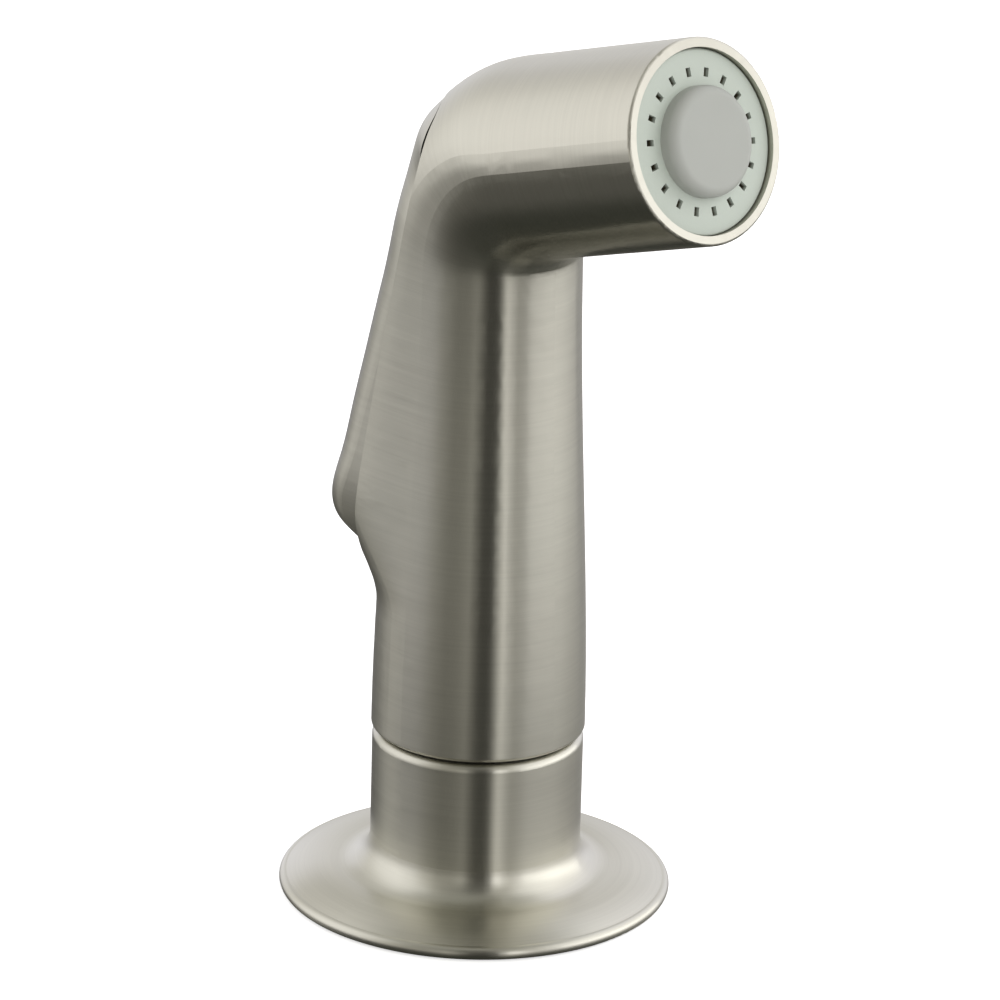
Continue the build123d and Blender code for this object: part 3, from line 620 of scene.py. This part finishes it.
# Painted shade: the colour darkens to brown-black with depth inside the slots.
slot_shade = add_node(tree, "ShaderNodeMapRange", fade).outputs[0]
tree.links.new(mix_colour(tree, slot_shade, unshaded_colour, SLOT_SHADE_COLOUR), shader.inputs["Base Color"])
print("slots stained behind", 1000 * FACE_FRONT, "mm along the wand")

# %% [markdown]
# Washers and O-rings are dull black rubber with a coarser, softer skin.

# %% Finish the rubber
RUBBER_BLACK = (0.018, 0.018, 0.019)
rubber_skin = {"grain": 1500.0, "bump": 0.2, "unevenness": 0.3}
for node in ("deck_gasket", "inlet_gasket", "gland_oring", "tube_orings", "face_oring", "valve_seal"):
    dress(node, moulded_finish(node + "_rubber", RUBBER_BLACK, 0.66, **rubber_skin))

# %% [markdown]
# The last metals are plain: machined brass for the hose bush, gland and stem, and stainless
# steel for the washer, pins, screw and spring. Both keep fine tool marks, from the same
# group of scratches.

# %% Machined metal recipe
MACHINED_CONTRAST = 0.3
MACHINED_SPREAD = 0.06
MACHINED_LINES = 5000.0


def machined_finish(name, colour, roughness):
    """Bare metal with tool marks that lie level."""
    material, tree, shader = start_material(name)
    place = add_node(tree, "ShaderNodeTexCoord").outputs["Object"]
    parts = add_node(tree, "ShaderNodeSeparateXYZ", {0: place})
    cut = {"Across": parts.outputs["Z"], "Lengthwise": parts.outputs["X"], "Lines per Metre": MACHINED_LINES}
    tone = use_group(tree, brushed, cut).outputs["Tone"]
    metal = {"Base": (*colour, 1), "Tone": tone, "Contrast": MACHINED_CONTRAST}
    tree.links.new(use_group(tree, plate_colour, metal).outputs["Color"], shader.inputs["Base Color"])
    gloss = between(tree, tone, roughness - MACHINED_SPREAD, roughness + MACHINED_SPREAD)
    tree.links.new(gloss, shader.inputs["Roughness"])
    shader.inputs["Metallic"].default_value = 1.0
    print(name, "roughness about", roughness)
    return material


# %% [markdown]
# Each of these nodes gets a material of its own, named after it. Only the colour and a
# little of the gloss tell brass from steel.

# %% Finish the brass and steel
BRASS = (0.78, 0.58, 0.28)
STEEL = (0.60, 0.60, 0.61)
for node in ("inlet_insert", "valve_bushing", "valve_stem"):
    dress(node, machined_finish(node + "_brass", BRASS, 0.28))
for node in ("deck_washer", "lever_pins", "face_screw", "valve_spring"):
    dress(node, machined_finish(node + "_steel", STEEL, 0.3))

# %% [markdown]
# The screw threads are too fine for the solids, so they are made here. A thread is one
# small triangle carried round and up a helix. A curve with a bevel could do it, but a mesh
# of rings gives a sharp crest and a clean end.

# %% Thread maker
ROOT_OVERLAP = 0.00005
HALF_RIDGE = 0.42
THREAD_SIDES = 48


def thread(name, body, material, radius, crest, pitch, low, high):
    """A ridge wound from low to high on a cylinder, or inside a hole if crest is negative."""
    turns = (high - low) / pitch - 0.5
    count = int(turns * THREAD_SIDES)
    root = radius - math.copysign(ROOT_OVERLAP, crest)
    points, faces = [], []
    for step in range(count + 1):
        angle = 2 * math.pi * step / THREAD_SIDES
        middle = low + pitch / 4 + pitch * step / THREAD_SIDES
        swell = min(1.0, 6.0 * step / count, 6.0 * (count - step) / count)
        top = root + (radius + crest - root) * max(swell, 0.05)
        for distance, rise in ((root, -HALF_RIDGE * pitch), (top, 0.0), (root, HALF_RIDGE * pitch)):
            points.append((distance * math.cos(angle), distance * math.sin(angle), middle + rise))
    for step in range(count):
        a, b = 3 * step, 3 * step + 3
        for first in range(3):
            second = (first + 1) % 3
            faces.append((a + first, b + first, b + second, a + second))
    faces += [(2, 1, 0), (3 * count, 3 * count + 1, 3 * count + 2)]
    mesh = bpy.data.meshes.new(name)
    mesh.from_pydata(points, [], faces)
    if crest < 0:
        mesh.flip_normals()
    mesh.materials.append(material)
    piece = bpy.data.objects.new(name, mesh)
    bpy.context.collection.objects.link(piece)
    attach(piece, body)
    print(name, "turns:", round(turns, 1))


# %% [markdown]
# The shank's coarse plastic thread runs from its end up to just under the deck, and the
# nut's grip sits on it. The hose bush has a fine inside thread.

# %% Wind the threads
SHANK_RADIUS, SHANK_PITCH = 0.01267, 0.0018
INLET_RADIUS, INLET_PITCH = 0.00572, 0.00134

guide_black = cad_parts["hose_guide"].data.materials[0]
shank_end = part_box("hose_guide")[0].z
thread(
    "shank_thread", "holder", guide_black, SHANK_RADIUS,
    crest=0.00055, pitch=SHANK_PITCH, low=shank_end + 0.0008, high=-0.0292,
)
thread(
    "shank_thread_above", "holder", guide_black, SHANK_RADIUS,
    crest=0.00045, pitch=SHANK_PITCH, low=-0.0195, high=-0.0008,
)
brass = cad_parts["inlet_insert"].data.materials[0]
inlet_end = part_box("inlet_insert")[0].z
thread(
    "inlet_thread", "wand", brass, INLET_RADIUS,
    crest=-0.00035, pitch=INLET_PITCH, low=inlet_end + 0.0003, high=inlet_end + 0.0100,
)

# %% [markdown]
# The valve spring is squeezed as the lever is pressed. A solid can't be squeezed, and a copy
# of its mesh, with a mesh of its own, stands for it. It travels with the stem, whose disc
# pushes its rear end.

spring_coil = bpy.data.objects.new("valve_spring_coil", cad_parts["valve_spring"].data.copy())
bpy.context.collection.objects.link(spring_coil)
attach(spring_coil, "valve_stem")
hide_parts("valve_spring")
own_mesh(spring_coil)

# %% [markdown]
# Last come the colour settings.

# %% Settle the colours
bpy.context.scene.view_settings.view_transform = "Standard"
bpy.context.view_layer.update()
